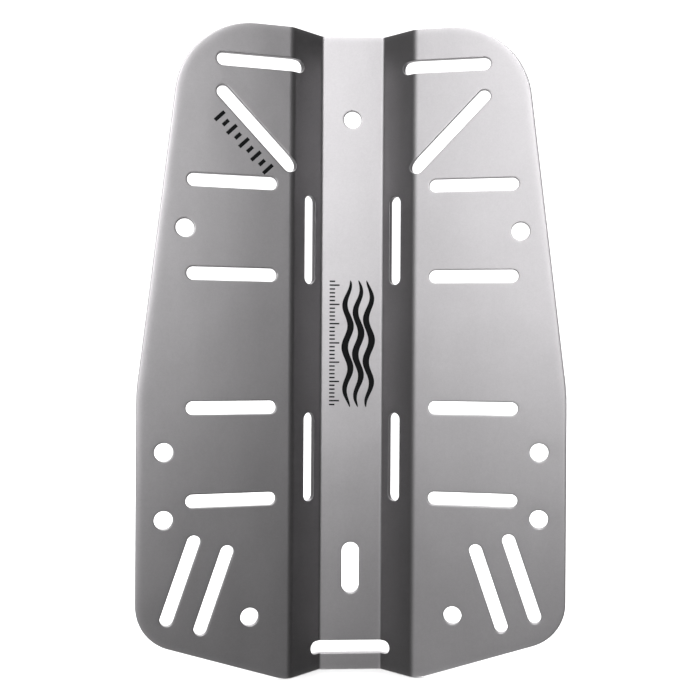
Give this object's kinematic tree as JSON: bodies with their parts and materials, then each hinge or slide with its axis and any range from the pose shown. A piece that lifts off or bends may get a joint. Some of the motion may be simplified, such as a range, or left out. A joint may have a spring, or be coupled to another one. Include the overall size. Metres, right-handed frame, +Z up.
{
  "type": "diving backplate",
  "caption": "Folded titanium diving backplate with a channel down its middle, slots for harness webbing and holes for tank bolts.",
  "frame": {"origin": "on the tank-side face of the centre strip, midway between the two tank bolts", "axes": "+Z up towards the diver's head, +Y from the diver towards the tank, +X to the right as seen from the diver's side"},
  "size_m": [0.2534, 0.0368, 0.3943],
  "materials": {
    "titanium_sheet": "bead-blasted satin titanium"
  },
  "bodies": {
    "root": {"backplate": "titanium_sheet"}
  },
  "joints": []
}
